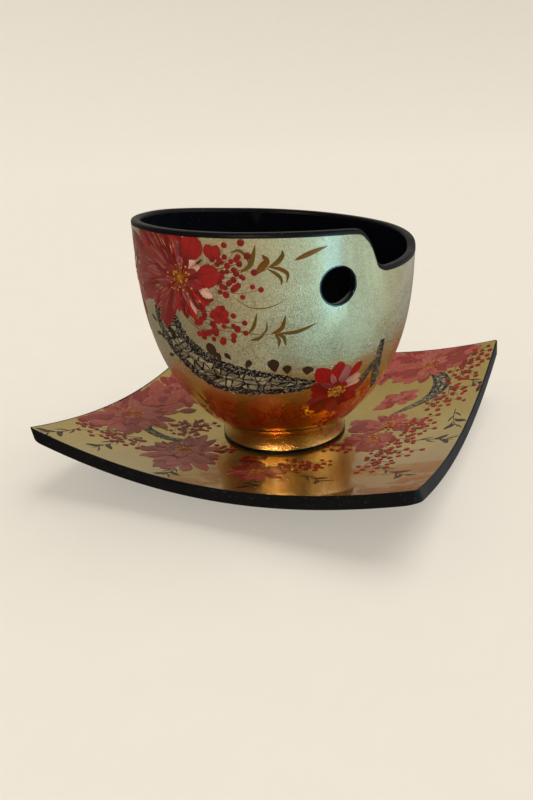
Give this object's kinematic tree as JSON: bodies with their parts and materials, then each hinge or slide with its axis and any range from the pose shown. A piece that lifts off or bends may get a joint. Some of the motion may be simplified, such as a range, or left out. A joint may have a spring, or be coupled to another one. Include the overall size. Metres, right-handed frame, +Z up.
{
  "type": "bowl with saucer",
  "caption": "Round lacquered bowl with a spiral rim, a stepped rest notch and a round side hole, standing on a square dished saucer.",
  "frame": {"origin": "bottom centre of the saucer, on the surface it stands on", "axes": "+Z up; X and Y along the saucer's sides; the step in the rim and the side hole face the +X -Y corner"},
  "size_m": [0.2074, 0.2074, 0.1364],
  "materials": {
    "silver_leaf": "silver-gold leaf under clear gloss lacquer, painted with red blossoms",
    "gold_leaf": "gold leaf under clear gloss lacquer",
    "black_gloss": "polished black lacquer",
    "black_satin": "satin black lacquer",
    "wood": "sealed turned wood, hidden by the coats"
  },
  "bodies": {
    "saucer": {"saucer_core": "black_gloss", "saucer_leaf_panel": "gold_leaf", "saucer_edge_band": "black_satin"},
    "bowl": {"bowl_core": "wood", "bowl_leaf_skin": "silver_leaf", "bowl_lining": "black_gloss", "rim_band": "black_satin", "hole_sleeve": "black_gloss", "foot_ring": "gold_leaf", "foot_sole_band": "black_satin"}
  },
  "joints": [
    {"name": "bowl_lift", "type": "slide", "parent": "saucer", "child": "bowl", "axis": [0, 0, 1], "range_m": [0, 0.15]}
  ]
}
